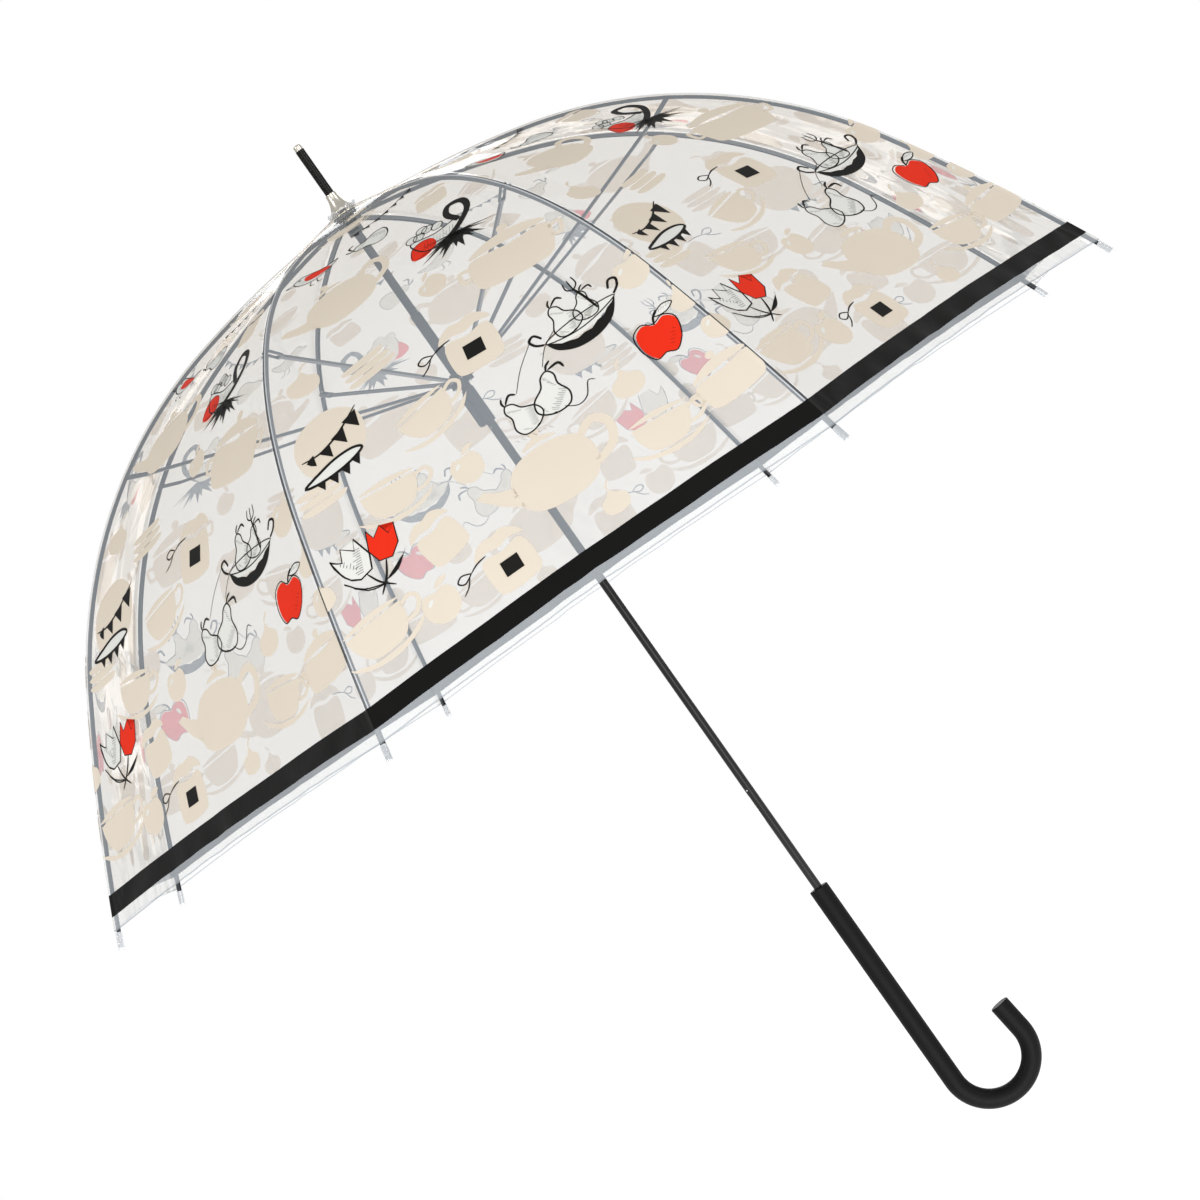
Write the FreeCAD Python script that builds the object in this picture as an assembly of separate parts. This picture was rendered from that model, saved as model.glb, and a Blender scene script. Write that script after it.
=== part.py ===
import FreeCAD, Part
import math
import os

# Clear bubble umbrella, open, in millimetres. +Z runs up the shaft to the ferrule, the handle's hook turns
# towards +X, and the origin is on the shaft's axis, half way down the handle's straight grip.
#
# Ribs, stretchers and rib tips are drawn once in the plane y = 0, at the radius x, and turned about Z.

# ---- frame ----------------------------------------------------------------------------------------------
RIB_COUNT = 8
RIB_STEP_DEG = 360 / RIB_COUNT
FIRST_RIB_DEG = RIB_STEP_DEG / 2

# ---- ribs: one springy U channel from the top notch to the tip, curved in three arcs --------------------
HINGE_R = 7.6              # radius of the wire rings that the ribs and stretchers turn on
NOTCH_Z = 692.0            # height of the ribs' hinge ring
RIB_START_DEG = 4.75       # slope below level at the hinge ring
RIB_ARCS = ((152, 777), (272, 366), (179, 1634))   # length and radius of each arc, from the hinge outwards
JOINT_S = 260.0            # distance along the rib to the stretcher's rivet
RIB_HALF_W = 1.5
RIB_HALF_H = 1.3
RIB_WALL = 0.45
TONGUE_HALF_W = 0.75       # flat ends that go into a slot or between two lugs
RIVET_R = 0.6
METAL_END = 3.0            # the channel stops this far inside the clear sheath

# ---- stretchers -----------------------------------------------------------------------------------------
STRETCH_HALF_W = 1.3
STRETCH_LOW, STRETCH_HIGH = 0.4, 2.6      # the channel lies this far below the line from ring to rivet
STRETCH_WALL = 0.4
STRETCH_START = 8.0
FORK_LEN = 17.5
FORK_WEB = 2.5
CHEEK_IN, CHEEK_OUT = 1.8, 2.4

# ---- clear sheath on each rib tip -----------------------------------------------------------------------
SHEATH_LEN = 13.5
SHEATH_R = 2.4
SHEATH_NOSE = 3.0

# ---- canopy: eight gores of clear film, flat from rib to rib --------------------------------------------
FILM = 0.3
FILM_GAP = 2.3             # from the rib's centre line up to the film's inner face
HEM_BACK = 14.0            # the hem stops this far short of the rib's tip
SEAM_GAP = 0.1
FILM_HOLE_R = 5.0
FILM_TOP_Z = 698.4
FILM_TOP_R = 12.0
FILM_TENT_S = 50.0         # the film is tented over the notch out to here
FILM_TOUCH = (75, 130, 180, 225, 270, 315, 360, 405, 460, 520, 575)   # where the strips touch the rib's line

# ---- shaft and catches ----------------------------------------------------------------------------------
SHAFT_R = 3.3
SHAFT_WALL = 0.5
SHAFT_LOW, SHAFT_TOP = 55.0, 711.0
CATCH_LEN = 25.0
CATCH_HALF_W = 0.6
CATCH_OUT = 5.6            # how far from the axis a catch stands out
CATCH_IN = 1.0
CATCH_PIN_X = -1.9
CATCH_PIN_R = 0.5
CATCH_PIN_HALF = 2.2
CATCH_SLOT_HALF_W = 0.9
LOWER_CATCH_END_Z = 152.0
STOP_Z = 607.0
STOP_OUT = 5.2
STOP_LEN = 6.0

# ---- runner ---------------------------------------------------------------------------------------------
SLEEVE_BORE = 3.38
SLEEVE_R = 4.2
SLEEVE_BELOW = 39.0        # sleeve end below the ring
KEYWAY_HALF_W = 0.85
KEYWAY_DEPTH = 6.0
CROWN_R = 9.4
CROWN_BELOW, CROWN_ABOVE = 5.0, 6.0
CROWN_TOP_R = 6.0
CROWN_SLOT_R, CROWN_SLOT_HALF_W = 7.2, 1.6
WIRE_R = 0.5
GROOVE_HALF_H = 0.6
COLLAR_R = 4.9
BLOCK_OUT = 8.6
BLOCK_HALF_W = 1.3

# ---- top fittings ---------------------------------------------------------------------------------------
NOTCH_R = 9.6
NOTCH_BELOW, NOTCH_ABOVE = 4.0, 5.3
NOTCH_HUB_R, NOTCH_HUB_BELOW = 6.0, 12.0
NOTCH_SLOT_R, NOTCH_SLOT_HALF_W, NOTCH_ROOF = 5.9, 1.0, 2.0
INNER_WASHER_R, INNER_WASHER_H = 9.0, 0.9
CLEAR_WASHER_R, CLEAR_WASHER_H = 12.0, 1.6
CAP_BASE_R, CAP_TOP_R, CAP_H = 9.0, 4.3, 15.0
FERRULE_R, FERRULE_TOP = 3.5, 755.0
FERRULE_TIP_H = 4.5

# ---- handle ---------------------------------------------------------------------------------------------
HANDLE_R = 7.6
HANDLE_TOP = 88.0
HOOK_R = 31.5              # centre-line radius of the hook
HOOK_Z = -87.0             # height of the hook's centre
HOOK_TURN_DEG = 187.0
HOOK_END_LEN = 24.0

FIT = 0.05                 # side clearance of a fixed fit
V = FreeCAD.Vector
Y_AXIS = V(0, 1, 0)
Z_AXIS = V(0, 0, 1)


# ---- the rib's centre line ------------------------------------------------------------------------------
def rib_length():
    return sum(length for length, radius in RIB_ARCS)


def normal(slope):
    """Unit vector square to the rib, on the film's side, where the rib slopes down by this angle."""
    return V(math.sin(slope), 0, math.cos(slope))


def rib_arcs():
    """Each arc of the centre line as (centre, radius, first slope, last slope, first s)."""
    arcs = []
    point = V(HINGE_R, 0, NOTCH_Z)
    slope = math.radians(RIB_START_DEG)
    s = 0.0
    for length, radius in RIB_ARCS:
        centre = point - normal(slope) * radius
        last = slope + length / radius
        arcs.append((centre, radius, slope, last, s))
        point = centre + normal(last) * radius
        slope = last
        s += length
    return arcs


def rib_at(s, offset=0.0):
    """The point at distance s along the rib, moved off the centre line, and the slope there."""
    for centre, radius, first, last, start in rib_arcs():
        slope = first + (s - start) / radius
        if slope <= last + 1e-9:
            return centre + normal(slope) * (radius + offset), slope
    return centre + normal(slope) * (radius + offset), slope


def rib_edges(s0, s1, offset):
    """Arcs parallel to the centre line from s0 to s1."""
    edges = []
    for centre, radius, first, last, start in rib_arcs():
        low = max(first, first + (s0 - start) / radius)
        high = min(last, first + (s1 - start) / radius)
        if high - low > 1e-7:
            at = [centre + normal(a) * (radius + offset) for a in (low, (low + high) / 2, high)]
            edges.append(Part.Arc(*at).toShape())
    return edges


def rib_band(s0, s1, low, high):
    """The face between two lines parallel to the rib."""
    ends = [Part.makeLine(rib_at(s, low)[0], rib_at(s, high)[0]) for s in (s0, s1)]
    wire = Part.Wire(Part.__sortEdges__(rib_edges(s0, s1, low) + rib_edges(s0, s1, high) + ends))
    return Part.Face(wire)


# ---- small helpers --------------------------------------------------------------------------------------
def slab(face, y0, y1):
    """A face in the plane y = 0, drawn out from y0 to y1."""
    moved = face.copy()
    moved.translate(V(0, y0, 0))
    return moved.extrude(V(0, y1 - y0, 0))


def both_sides(face, inner, outer):
    return [slab(face, inner, outer), slab(face, -outer, -inner)]


def outline(points):
    """A flat face in the plane y = 0 from (x, z) points."""
    return Part.Face(Part.makePolygon([V(x, 0, z) for x, z in points + points[:1]]))


def rod(radius, low, high):
    return Part.makeCylinder(radius, high - low, V(0, 0, low))


def tube(outer, inner, low, high):
    return rod(outer, low, high).cut(rod(inner, low - 1, high + 1))


def cross_rod(point, radius, half_width):
    """A rod square to the rib plane."""
    return Part.makeCylinder(radius, 2 * half_width, V(point.x, -half_width, point.z), Y_AXIS)


def box(x0, x1, half_width, z0, z1):
    return Part.makeBox(x1 - x0, 2 * half_width, z1 - z0, V(x0, -half_width, z0))


def ring_wire(z):
    return Part.makeTorus(HINGE_R, WIRE_R, V(0, 0, z))


def wire_groove(z, outer):
    return tube(outer, HINGE_R - GROOVE_HALF_H, z - GROOVE_HALF_H, z + GROOVE_HALF_H)


def turned(shape, degrees):
    copy = shape.copy()
    copy.rotate(V(0, 0, 0), Z_AXIS, degrees)
    return copy


def rib_angle(i):
    return FIRST_RIB_DEG + i * RIB_STEP_DEG


def cut_slots(shape, slot):
    """Cuts one slot at each rib's plane."""
    return shape.cut([turned(slot, rib_angle(i)) for i in range(RIB_COUNT)])


def joined(shapes):
    return shapes[0].fuse(shapes[1:]).removeSplitter()


# ---- linkage --------------------------------------------------------------------------------------------
HINGE = V(HINGE_R, 0, NOTCH_Z)
JOINT = rib_at(JOINT_S)[0]
RUNNER_Z = NOTCH_Z - 2 * (NOTCH_Z - JOINT.z)          # the runner's ring, with equal links above and below
TRAVEL = 2 * (JOINT - HINGE).Length - (NOTCH_Z - RUNNER_Z)
KEYWAY = box(-KEYWAY_DEPTH, 0, KEYWAY_HALF_W, RUNNER_Z - 60, RUNNER_Z + 80)


# ---- ribs -----------------------------------------------------------------------------------------------
def channel(s0, s1):
    """The rib's U channel, with its web on the film's side and its mouth towards the shaft."""
    web = slab(rib_band(s0, s1, RIB_HALF_H - RIB_WALL, RIB_HALF_H), -RIB_HALF_W, RIB_HALF_W)
    sides = both_sides(rib_band(s0, s1, -RIB_HALF_H, RIB_HALF_H), RIB_HALF_W - RIB_WALL, RIB_HALF_W)
    return [web] + sides


def rib_upper():
    """From the hinge ring to the rivet: a tongue with an eye, the channel and two lugs, and the rivet."""
    tongue = slab(rib_band(0, 14, -RIB_HALF_H, RIB_HALF_H), -TONGUE_HALF_W, TONGUE_HALF_W)
    eye = cross_rod(HINGE, RIB_HALF_H, TONGUE_HALF_W)
    lug = rib_band(JOINT_S - 4, JOINT_S, -RIB_HALF_H, RIB_HALF_H)
    lugs = both_sides(lug, RIB_HALF_W - RIB_WALL, RIB_HALF_W)
    round_end = cross_rod(JOINT, RIB_HALF_H, RIB_HALF_W).cut(cross_rod(JOINT, RIB_HALF_H + 1,
                                                                       RIB_HALF_W - RIB_WALL))
    body = joined(channel(6, JOINT_S - 3.2) + [tongue, eye, round_end] + lugs)
    body = body.cut([cross_rod(HINGE, WIRE_R + 0.12, 5), cross_rod(JOINT, RIVET_R + 0.02, 5)])
    heads = [cross_rod(JOINT, RIVET_R + 0.3, CHEEK_OUT + 0.25).cut(cross_rod(JOINT, 2, CHEEK_OUT + 0.05))]
    rivet = joined([cross_rod(JOINT, RIVET_R, CHEEK_OUT + 0.2)] + heads)
    return Part.makeCompound([body, rivet])


def rib_lower():
    """From the rivet to the tip: a tongue between the lugs, then the channel, into the clear sheath."""
    tongue = slab(rib_band(JOINT_S, JOINT_S + 12, -RIB_HALF_H, RIB_HALF_H), -TONGUE_HALF_W, TONGUE_HALF_W)
    eye = cross_rod(JOINT, RIB_HALF_H, TONGUE_HALF_W)
    body = joined(channel(JOINT_S + 4.5, rib_length() - METAL_END) + [tongue, eye])
    return body.cut(cross_rod(JOINT, RIVET_R + 0.1, 5))


def rib_tip():
    """A clear bullet over the rib's end."""
    barrel = Part.makeCylinder(SHEATH_R, SHEATH_LEN - SHEATH_NOSE, V(-SHEATH_LEN, 0, 0), V(1, 0, 0))
    nose = Part.makeSphere(SHEATH_R)
    stretch = FreeCAD.Matrix()
    stretch.scale(SHEATH_NOSE / SHEATH_R, 1, 1)
    nose = nose.transformGeometry(stretch).common(Part.makeBox(10, 10, 10, V(0, -5, -5)))
    nose.translate(V(-SHEATH_NOSE, 0, 0))
    pocket = box(-SHEATH_LEN - 1, -METAL_END + FIT, RIB_HALF_W + 2 * FIT, -RIB_HALF_H - 2 * FIT,
                 RIB_HALF_H + 2 * FIT)
    bullet = barrel.fuse(nose).cut(pocket)
    end, slope = rib_at(rib_length())
    bullet.rotate(V(0, 0, 0), Y_AXIS, math.degrees(slope))
    bullet.translate(end)
    return bullet


def stretcher():
    """A channel from the runner's ring to the rivet, below the line between them so that it can leave
    the ring's slot, with a flat tongue at the ring and a fork round the rib."""
    ring = V(HINGE_R, 0, RUNNER_Z)
    along = (JOINT - ring).normalize()
    below = V(along.z, 0, -along.x)
    length = (JOINT - ring).Length

    def plate(corners):
        points = [ring + along * s + below * d for s, d in corners]
        return outline([(p.x, p.z) for p in points])

    def strip(s0, s1, d0, d1):
        return plate([(s0, d0), (s1, d0), (s1, d1), (s0, d1)])

    fork = length - FORK_LEN
    low, high = STRETCH_LOW, STRETCH_HIGH
    pieces = [slab(strip(0.2, 12, 2 * low, high), -TONGUE_HALF_W + FIT, TONGUE_HALF_W - FIT)]
    pieces.append(slab(strip(STRETCH_START, fork + 1, high - STRETCH_WALL, high),
                       -STRETCH_HALF_W, STRETCH_HALF_W))
    pieces += both_sides(strip(STRETCH_START, fork + 1, low, high),
                         STRETCH_HALF_W - STRETCH_WALL, STRETCH_HALF_W)
    pieces.append(slab(strip(fork, fork + FORK_WEB, low, high), -CHEEK_OUT, CHEEK_OUT))
    cheek = plate([(fork, low), (length, -RIB_HALF_H), (length, RIB_HALF_H), (fork, high)])
    pieces += both_sides(cheek, CHEEK_IN, CHEEK_OUT)
    pieces.append(cross_rod(JOINT, RIB_HALF_H, CHEEK_OUT).cut(cross_rod(JOINT, RIB_HALF_H + 1, CHEEK_IN)))
    return joined(pieces).cut(cross_rod(JOINT, RIVET_R + 0.1, 5))


# ---- canopy ---------------------------------------------------------------------------------------------
def meet(point_a, way_a, point_b, way_b):
    """Where two lines in the rib plane cross."""
    cross = way_a[0] * way_b[1] - way_a[1] * way_b[0]
    dx, dz = point_b[0] - point_a[0], point_b[1] - point_a[1]
    t = (dx * way_b[1] - dz * way_b[0]) / cross
    return (point_a[0] + t * way_a[0], point_a[1] + t * way_a[1])


def film_line():
    """Corners of the film's inner face over a rib: a flat ring, a tented strip, then strips that each
    touch a line parallel to the rib, ending square to it."""
    lines = []
    for s in FILM_TOUCH:
        point, slope = rib_at(s, FILM_GAP)
        lines.append(((point.x, point.z), (math.cos(slope), -math.sin(slope))))
    corners = [(FILM_HOLE_R, FILM_TOP_Z), (FILM_TOP_R, FILM_TOP_Z)]
    for s, line in ((FILM_TENT_S, lines[0]), (rib_length() - HEM_BACK, lines[-1])):
        point, slope = rib_at(s, FILM_GAP)
        corners.append(meet(*line, (point.x, point.z), (math.sin(slope), math.cos(slope))))
    between = [meet(*lines[i], *lines[i + 1]) for i in range(len(lines) - 1)]
    return corners[:3] + between + corners[3:]


def offset_line(points, distance):
    """A polyline moved to its upper side by the same distance everywhere."""
    ways = []
    for (x0, z0), (x1, z1) in zip(points, points[1:]):
        length = math.hypot(x1 - x0, z1 - z0)
        ways.append(((x1 - x0) / length, (z1 - z0) / length))
    moved = [(x - w[1] * distance, z + w[0] * distance) for (x, z), w in zip(points, ways + ways[-1:])]
    result = [moved[0]]
    for i in range(1, len(ways)):
        before = (points[i][0] - ways[i - 1][1] * distance, points[i][1] + ways[i - 1][0] * distance)
        result.append(meet(before, ways[i - 1], moved[i], ways[i]))
    return result + [moved[-1]]


def canopy_panel():
    """One gore, its middle towards +X: flat strips of film, each from one rib's plane to the next."""
    half = math.radians(RIB_STEP_DEG / 2)
    inner = [(x * math.cos(half), z) for x, z in film_line()]
    outer = offset_line(inner, FILM)

    def corner(point, side):
        x, z = point
        return V(x, side * (x * math.tan(half) - SEAM_GAP / math.cos(half)), z)

    strips = []
    for i in range(len(inner) - 1):
        low = [corner(inner[i + j], side) for j, side in ((0, -1), (1, -1), (1, 1), (0, 1))]
        high = [corner(outer[i + j], side) for j, side in ((0, -1), (1, -1), (1, 1), (0, 1))]
        sides = [[low[k], low[k - 1], high[k - 1], high[k]] for k in range(4)]
        faces = [Part.Face(Part.makePolygon(f + f[:1])) for f in [low, high] + sides]
        strip = Part.Solid(Part.Shell(faces))
        if strip.Volume < 0:
            strip.reverse()
        strips.append(strip)
    return Part.makeCompound(strips)


# ---- shaft ----------------------------------------------------------------------------------------------
UPPER_CATCH_END_Z = RUNNER_Z - 18
CATCHES = ((UPPER_CATCH_END_Z, 1), (LOWER_CATCH_END_Z, -1))     # height of the square end, and its way


def catch_pin(end, way):
    return V(CATCH_PIN_X, 0, end - way * CATCH_LEN)


def catch(end, way):
    """A spring wedge in the shaft's slot, thin where the runner comes from and square at its other end."""
    pin = catch_pin(end, way)
    shape = [(-2.6, -1.2), (-CATCH_IN, -1.2), (-CATCH_IN, CATCH_LEN), (-CATCH_OUT, CATCH_LEN),
             (-CATCH_OUT, CATCH_LEN - 2.5), (-2.6, 5)]
    face = outline([(x, pin.z + way * z) for x, z in shape])
    return slab(face, -CATCH_HALF_W, CATCH_HALF_W).cut(cross_rod(pin, CATCH_PIN_R + 0.07, 3))


def catch_slot(end, way):
    ends = sorted((end + way * 0.8, end - way * (CATCH_LEN - 4)))
    return box(-5, 0, CATCH_SLOT_HALF_W, *ends)


def shaft():
    body = tube(SHAFT_R, SHAFT_R - SHAFT_WALL, SHAFT_LOW, SHAFT_TOP)
    cuts = [catch_slot(*c) for c in CATCHES] + [cross_rod(catch_pin(*c), CATCH_PIN_R + 0.01, 5)
                                                for c in CATCHES]
    return body.cut(cuts)


def catch_pins():
    pins = [cross_rod(catch_pin(*c), CATCH_PIN_R, CATCH_PIN_HALF) for c in CATCHES]
    return Part.makeCompound(pins)


def upper_stop():
    """The peg that the open runner rests against, thin above and square below."""
    face = outline([(3.0, STOP_Z), (STOP_OUT, STOP_Z), (STOP_OUT, STOP_Z + 1), (3.0, STOP_Z + STOP_LEN)])
    return slab(face, -0.8, 0.8).cut(rod(SHAFT_R + 0.01, STOP_Z - 1, STOP_Z + STOP_LEN + 1))


# ---- runner ---------------------------------------------------------------------------------------------
def runner_sleeve():
    sleeve = tube(SLEEVE_R, SLEEVE_BORE, RUNNER_Z - SLEEVE_BELOW, STOP_Z - 0.3)
    return sleeve.cut(KEYWAY)


def runner_crown():
    """A flared hub with a slot for each stretcher and a groove for its ring."""
    cone = Part.makeCone(CROWN_R, CROWN_TOP_R, CROWN_ABOVE, V(0, 0, RUNNER_Z))
    hub = rod(CROWN_R, RUNNER_Z - CROWN_BELOW, RUNNER_Z).fuse(cone)
    hub = hub.cut([rod(SLEEVE_R + 0.02, RUNNER_Z - 20, RUNNER_Z + 20), wire_groove(RUNNER_Z, 12), KEYWAY])
    return cut_slots(hub, box(CROWN_SLOT_R, 20, CROWN_SLOT_HALF_W, RUNNER_Z - 20, RUNNER_Z + 20))


def runner_collar():
    """A collar with the housing that the catches snap into, on the side away from the hook."""
    low = RUNNER_Z - SLEEVE_BELOW
    ring = rod(COLLAR_R, low, RUNNER_Z - 9)
    housing = slab(outline([(-3.5, RUNNER_Z - 9), (-4.3, RUNNER_Z - 9), (-BLOCK_OUT, RUNNER_Z - 17),
                            (-BLOCK_OUT, low + 1.5), (-BLOCK_OUT + 1.5, low), (-3.5, low)]),
                   -BLOCK_HALF_W, BLOCK_HALF_W)
    bore = rod(SLEEVE_R + 0.02, low - 1, RUNNER_Z)
    return ring.fuse(housing).removeSplitter().cut([bore, KEYWAY])


# ---- top fittings ---------------------------------------------------------------------------------------
def top_notch():
    """The slotted disc that the ribs hang from, on a short hub."""
    disc = rod(NOTCH_R, NOTCH_Z - NOTCH_BELOW, NOTCH_Z + NOTCH_ABOVE)
    hub = rod(NOTCH_HUB_R, NOTCH_Z - NOTCH_HUB_BELOW, NOTCH_Z - NOTCH_BELOW)
    body = disc.fuse(hub).cut([rod(SHAFT_R + 0.02, NOTCH_Z - 30, NOTCH_Z + 30), wire_groove(NOTCH_Z, 12)])
    slot = box(NOTCH_SLOT_R, 20, NOTCH_SLOT_HALF_W, NOTCH_Z - 30, NOTCH_Z + NOTCH_ROOF)
    return cut_slots(body, slot)


def inner_washer():
    top = FILM_TOP_Z - 0.1
    return tube(INNER_WASHER_R, SHAFT_R + FIT, top - INNER_WASHER_H, top)


CLEAR_WASHER_Z = FILM_TOP_Z + FILM + 0.1
CAP_Z = CLEAR_WASHER_Z + CLEAR_WASHER_H + 0.1


def canopy_washer():
    """A clear disc with a round rim, which clamps the film from above."""
    disc = tube(CLEAR_WASHER_R, SHAFT_R + FIT, CLEAR_WASHER_Z, CLEAR_WASHER_Z + CLEAR_WASHER_H)
    rim = [e for e in disc.Edges if abs(e.BoundBox.XMax - CLEAR_WASHER_R) < 0.01 and e.BoundBox.ZLength < 0.01]
    return disc.makeFillet(0.7, rim)


def crown_cap():
    """A flared metal cap, hollowed like a trumpet's bell on its outside."""
    top = CAP_Z + CAP_H
    foot, neck = V(CAP_BASE_R, 0, CAP_Z + 1.2), V(CAP_TOP_R, 0, top)
    middle = V((CAP_BASE_R + CAP_TOP_R) / 2 - 1.1, 0, CAP_Z + 1.2 + (CAP_H - 1.2) * 0.45)
    bore = SHAFT_R + FIT
    edges = [Part.makeLine(V(bore, 0, CAP_Z), V(CAP_BASE_R, 0, CAP_Z)), Part.makeLine(
        V(CAP_BASE_R, 0, CAP_Z), foot), Part.Arc(foot, middle, neck).toShape()]
    edges += [Part.makeLine(neck, V(bore, 0, top)), Part.makeLine(V(bore, 0, top), V(bore, 0, CAP_Z))]
    return Part.Face(Part.Wire(edges)).revolve(V(0, 0, 0), Z_AXIS, 360)


def ferrule():
    """A rod standing on the cap, with a root in the cap's bore and a spigot in the shaft."""
    foot = CAP_Z + CAP_H + 0.05
    spigot = rod(SHAFT_R - SHAFT_WALL - FIT, SHAFT_TOP - 14, SHAFT_TOP + 1)
    root = rod(SHAFT_R, SHAFT_TOP + 0.3, foot + 1)
    return joined([rod(FERRULE_R, foot, FERRULE_TOP), root, spigot])


def ferrule_tip():
    """A metal button on the ferrule's end, slightly crowned."""
    button = rod(FERRULE_R - 0.3, FERRULE_TOP + 0.05, FERRULE_TOP + FERRULE_TIP_H)
    top = [e for e in button.Edges if abs(e.BoundBox.ZMin - FERRULE_TOP - FERRULE_TIP_H) < 0.01]
    return button.makeFillet(1.4, top)


# ---- handle ---------------------------------------------------------------------------------------------
def handle():
    """A round grip with a J hook, bored for the shaft."""
    grip = rod(HANDLE_R, HOOK_Z, HANDLE_TOP)
    section = Part.Face(Part.Wire(Part.makeCircle(HANDLE_R, V(0, 0, HOOK_Z), Z_AXIS)))
    bend = section.revolve(V(HOOK_R, 0, HOOK_Z), V(0, -1, 0), HOOK_TURN_DEG)
    turn = math.radians(HOOK_TURN_DEG)
    end = V(HOOK_R - HOOK_R * math.cos(turn), 0, HOOK_Z - HOOK_R * math.sin(turn))
    way = V(math.sin(turn), 0, -math.cos(turn))
    last = Part.makeCylinder(HANDLE_R, HOOK_END_LEN, end, way)
    body = joined([grip, bend, last])
    tip = end + way * HOOK_END_LEN
    rims = [e for e in body.Edges if (e.CenterOfMass - tip).Length < 0.01
            or (e.CenterOfMass - V(0, 0, HANDLE_TOP)).Length < 0.01]
    body = body.makeFillet(0.9, rims)
    return body.cut(rod(SHAFT_R + FIT, SHAFT_LOW - 1, HANDLE_TOP + 1))


# ---- export ---------------------------------------------------------------------------------------------
def export(name, shape):
    shape.exportStep("parts/" + name + ".step")


def export_around(name, shape, first_deg):
    """One node for each rib or panel, turned about the shaft."""
    for i in range(RIB_COUNT):
        export(name + "_" + str(i + 1), turned(shape, first_deg + i * RIB_STEP_DEG))


os.makedirs("parts", exist_ok=True)
for name, make in (("shaft", shaft), ("catch_pins", catch_pins), ("upper_stop", upper_stop),
                   ("top_notch", top_notch), ("inner_washer", inner_washer),
                   ("canopy_washer", canopy_washer), ("crown_cap", crown_cap), ("ferrule", ferrule),
                   ("ferrule_tip", ferrule_tip), ("handle", handle), ("runner_sleeve", runner_sleeve),
                   ("runner_crown", runner_crown), ("runner_collar", runner_collar)):
    export(name, make())
export("notch_wire", ring_wire(NOTCH_Z))
export("runner_wire", ring_wire(RUNNER_Z))
export("upper_catch", catch(*CATCHES[0]))
export("lower_catch", catch(*CATCHES[1]))
for name, make in (("rib_upper", rib_upper), ("rib_lower", rib_lower), ("rib_tip", rib_tip),
                   ("stretcher", stretcher)):
    export_around(name, make(), FIRST_RIB_DEG)
export_around("canopy_panel", canopy_panel(), 0.0)

fold = 90 - math.degrees(math.atan2(NOTCH_Z - JOINT.z, JOINT.x - HINGE_R))
print("joint", JOINT, "runner ring z", RUNNER_Z, "travel", TRAVEL, "rib fold", fold)
print("tip", rib_at(rib_length()))
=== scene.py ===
"""Clear bubble umbrella: the printed film canopy and the finishes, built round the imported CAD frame."""
import bmesh
import bpy
import math
from mathutils import Matrix, Vector, noise


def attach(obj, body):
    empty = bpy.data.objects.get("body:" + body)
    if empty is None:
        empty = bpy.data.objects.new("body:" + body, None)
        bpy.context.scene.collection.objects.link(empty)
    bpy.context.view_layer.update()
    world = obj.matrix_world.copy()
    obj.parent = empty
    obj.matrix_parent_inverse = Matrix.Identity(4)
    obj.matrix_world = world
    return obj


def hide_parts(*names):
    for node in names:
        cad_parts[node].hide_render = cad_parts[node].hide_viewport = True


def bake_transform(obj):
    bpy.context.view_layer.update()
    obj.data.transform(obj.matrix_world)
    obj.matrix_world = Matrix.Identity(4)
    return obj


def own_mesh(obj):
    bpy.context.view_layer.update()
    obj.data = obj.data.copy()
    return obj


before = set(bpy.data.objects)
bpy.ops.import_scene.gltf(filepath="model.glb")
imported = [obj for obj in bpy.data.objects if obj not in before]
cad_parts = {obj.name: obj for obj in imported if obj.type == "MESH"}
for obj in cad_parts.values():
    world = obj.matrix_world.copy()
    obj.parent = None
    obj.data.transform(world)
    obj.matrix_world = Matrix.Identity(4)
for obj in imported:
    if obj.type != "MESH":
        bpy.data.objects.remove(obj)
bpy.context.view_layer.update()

# ---- the frame's dimensions, in metres, as in part.py ----------------------------------------------------
RIB_COUNT = 8
STEP = math.radians(360 / RIB_COUNT)
HALF_STEP = STEP / 2
HINGE_R, NOTCH_Z = 0.0076, 0.692
RIB_START = math.radians(4.75)
RIB_ARCS = ((0.152, 0.777), (0.272, 0.366), (0.179, 1.634))
RIVET_S = 0.260

# ---- the film's dimensions, in metres. s is the distance down a rib from the top --------------------------
FILM_GAP = 0.00245         # from the rib's centre line to the film
HOLE_R = 0.005             # the film's hole round the shaft
FLAT_R, FLAT_Z = 0.012, 0.69855            # the film is flat under the washer, out to here
TENT_SLOPE = math.radians(13.5)            # and leaves the washer at this slope
FLAT_S, TENT_S = 0.007, 0.050
CROWN_S = 0.020            # the part above this bends between the top fittings and its rib
HEM_S = 0.589
HEM_EDGE_S = 0.5878        # the cut edge, which looks darker, starts here
BAND_S = (0.5636, 0.5787)  # the black band
LIFT = 0.0037              # the hem rises this much between two ribs
SAG = 0.0026               # the film is pulled in this much between two ribs
SEAM_RISE, SEAM_WIDE = 0.0005, 0.0022
BROAD_WAVE, FINE_WAVE = 0.0016, 0.0005     # soft unevenness of a thin stretched film
PLEAT, PLEAT_DOWN, PLEAT_ACROSS = 0.0011, 0.07, 0.022  # short pleats where the hem is tied to the rib
RUFFLE, RUFFLE_DOWN = 0.0022, 0.02         # the wave of the hem
CREASE, CREASE_WIDE = 0.0007, 0.0028       # a soft crease in the film
CREASE_D, CREASE_S = 0.0105, 0.25          # how far from each rib it is, and where it has its full depth
PUCKER, PUCKER_DOWN = 0.0006, 0.06         # fine puckers round the top
TINY = 1e-9


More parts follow.
